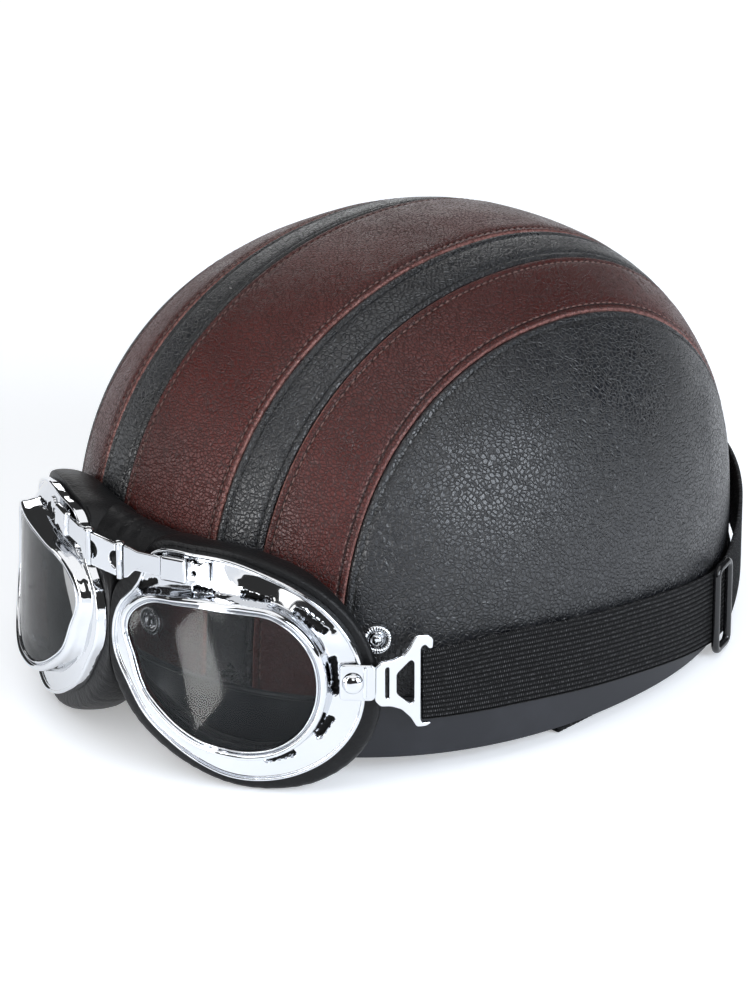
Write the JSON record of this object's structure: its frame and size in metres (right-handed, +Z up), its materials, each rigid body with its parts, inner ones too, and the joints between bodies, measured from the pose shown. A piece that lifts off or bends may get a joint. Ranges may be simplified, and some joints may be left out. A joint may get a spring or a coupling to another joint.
{
  "type": "motorcycle half helmet with goggles",
  "caption": "Leather-covered half helmet with brown and black stripes, chrome aviator goggles on an elastic strap, rubber rim band and webbing chin strap.",
  "frame": {"origin": "on the floor under the middle of the part's outer box, with the helmet standing as in use on a table", "axes": "+X to the wearer's left, +Y to the back of the helmet, +Z up; the goggles look along -Y"},
  "size_m": [0.2436, 0.302, 0.1703],
  "materials": {
    "brown_leather": "pebbled satin",
    "black_leather": "pebbled satin",
    "rim_rubber": "matte",
    "chrome": "mirror",
    "clear_lens": "clear, slightly grey",
    "mask_leather": "soft matte",
    "webbing": "ribbed weave",
    "black_plastic": "satin",
    "shell_foam": "matte"
  },
  "bodies": {
    "root": {"shell": "shell_foam", "rim_band": "rim_rubber", "centre_stripe": "brown_leather", "mask": "mask_leather", "bridge_link": "chrome", "strap": "webbing", "slider": "black_plastic", "chin_buckle": "black_plastic", "snap_front": "chrome", "narrow_stripe_left": "black_leather", "outer_stripe_left": "brown_leather", "side_panel_left": "black_leather", "snap_left": "chrome", "frame_left": "chrome", "lens_left": "clear_lens", "bridge_arm_left": "chrome", "arm_sleeve_left": "chrome", "arm_tab_left": "chrome", "hinge_pin_left": "chrome", "strap_clip_left": "chrome", "rivet_left": "chrome", "strap_hook_left": "chrome", "chin_strap_left": "webbing", "chin_rivet_left": "chrome", "narrow_stripe_right": "black_leather", "outer_stripe_right": "brown_leather", "side_panel_right": "black_leather", "snap_right": "chrome", "frame_right": "chrome", "lens_right": "clear_lens", "bridge_arm_right": "chrome", "arm_sleeve_right": "chrome", "arm_tab_right": "chrome", "hinge_pin_right": "chrome", "strap_clip_right": "chrome", "rivet_right": "chrome", "strap_hook_right": "chrome", "chin_strap_right": "webbing", "chin_rivet_right": "chrome"}
  },
  "joints": []
}
